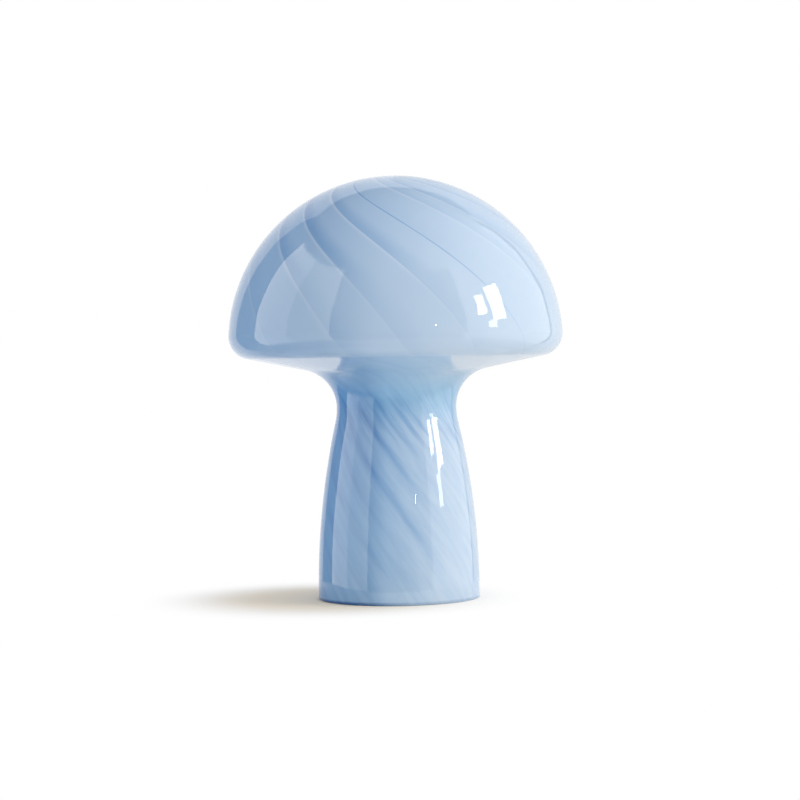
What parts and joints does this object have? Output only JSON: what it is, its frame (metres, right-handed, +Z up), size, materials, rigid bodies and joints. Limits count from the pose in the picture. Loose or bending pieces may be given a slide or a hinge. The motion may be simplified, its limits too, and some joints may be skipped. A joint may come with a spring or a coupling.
{
  "type": "mushroom table lamp",
  "caption": "Mushroom-shaped table lamp: a blown glass cap and stem in one piece lift off a sprung lamp fitting with a screw-in bulb.",
  "frame": {"origin": "on the table, under the middle of the lamp's round foot", "axes": "+Z up along the lamp's axis; +Y towards the cord outlet at the back of the foot; the picture looks along +Y"},
  "size_m": [0.2534, 0.2534, 0.32],
  "materials": {
    "swirl_glass": "glossy, blown, pale blue with a white and darker blue swirl, translucent",
    "enamelled_steel": "white powder coat, satin",
    "foot_rubber": "matt",
    "spring_steel": "bright rolled strip",
    "sleeve_silicone": "milky silicone",
    "rivet_aluminium": "as drawn",
    "zinc_steel": "bright zinc plate",
    "bush_nylon": "moulded nylon",
    "holder_thermoplastic": "moulded, off-white",
    "insert_ceramic": "steatite, unglazed",
    "contact_brass": "bright strip",
    "contact_solder": "soft solder",
    "cap_nickel": "nickel plated",
    "black_vitrite": "black glassy insulator",
    "bulb_plastic": "white, fine matt",
    "opal_globe": "opal diffuser, satin",
    "board_aluminium": "white solder mask on aluminium",
    "led_phosphor": "yellow phosphor",
    "circuit_board": "green solder mask",
    "capacitor_sleeve": "black shrink sleeve"
  },
  "bodies": {
    "fitting": {"base_plate": "enamelled_steel", "rubber_feet": "foot_rubber", "leaf_spring_1": "spring_steel", "leaf_spring_2": "spring_steel", "leaf_spring_3": "spring_steel", "spring_sleeve_1": "sleeve_silicone", "spring_sleeve_2": "sleeve_silicone", "spring_sleeve_3": "sleeve_silicone", "spring_rivets": "rivet_aluminium", "nipple": "zinc_steel", "lock_washer": "zinc_steel", "nipple_nut": "zinc_steel", "cord_bush": "bush_nylon", "holder_cap": "holder_thermoplastic", "grub_screw": "zinc_steel", "holder_skirt": "holder_thermoplastic", "holder_insert": "insert_ceramic", "screw_shell": "contact_brass", "centre_contact": "contact_brass", "side_contact": "contact_brass", "terminal_screws": "zinc_steel"},
    "glass": {"glass_body": "swirl_glass"},
    "bulb_tip": {"bulb_contact": "contact_solder"},
    "bulb": {"bulb_screw_cap": "cap_nickel", "bulb_insulator": "black_vitrite", "bulb_housing": "bulb_plastic", "bulb_globe": "opal_globe", "led_board": "board_aluminium", "led_chips": "led_phosphor", "driver_board": "circuit_board", "driver_capacitor": "capacitor_sleeve"}
  },
  "joints": [
    {"name": "glass_lift", "type": "slide", "parent": "fitting", "child": "glass", "axis": [0, 0, 1], "range_m": [0, 0.18]},
    {"name": "bulb_rise", "type": "slide", "parent": "fitting", "child": "bulb_tip", "axis": [0, 0, 1], "range_m": [0, 0.0109]},
    {"name": "bulb_turn", "type": "hinge", "parent": "bulb_tip", "child": "bulb", "pos_m": [0, 0, 0.0588], "axis": [0, 0, 1], "range_deg": [0, 1080]}
  ],
  "couplings": [
    {"joint": "bulb_rise", "follows": "bulb_turn", "m_per_rad": 0.00057757}
  ]
}
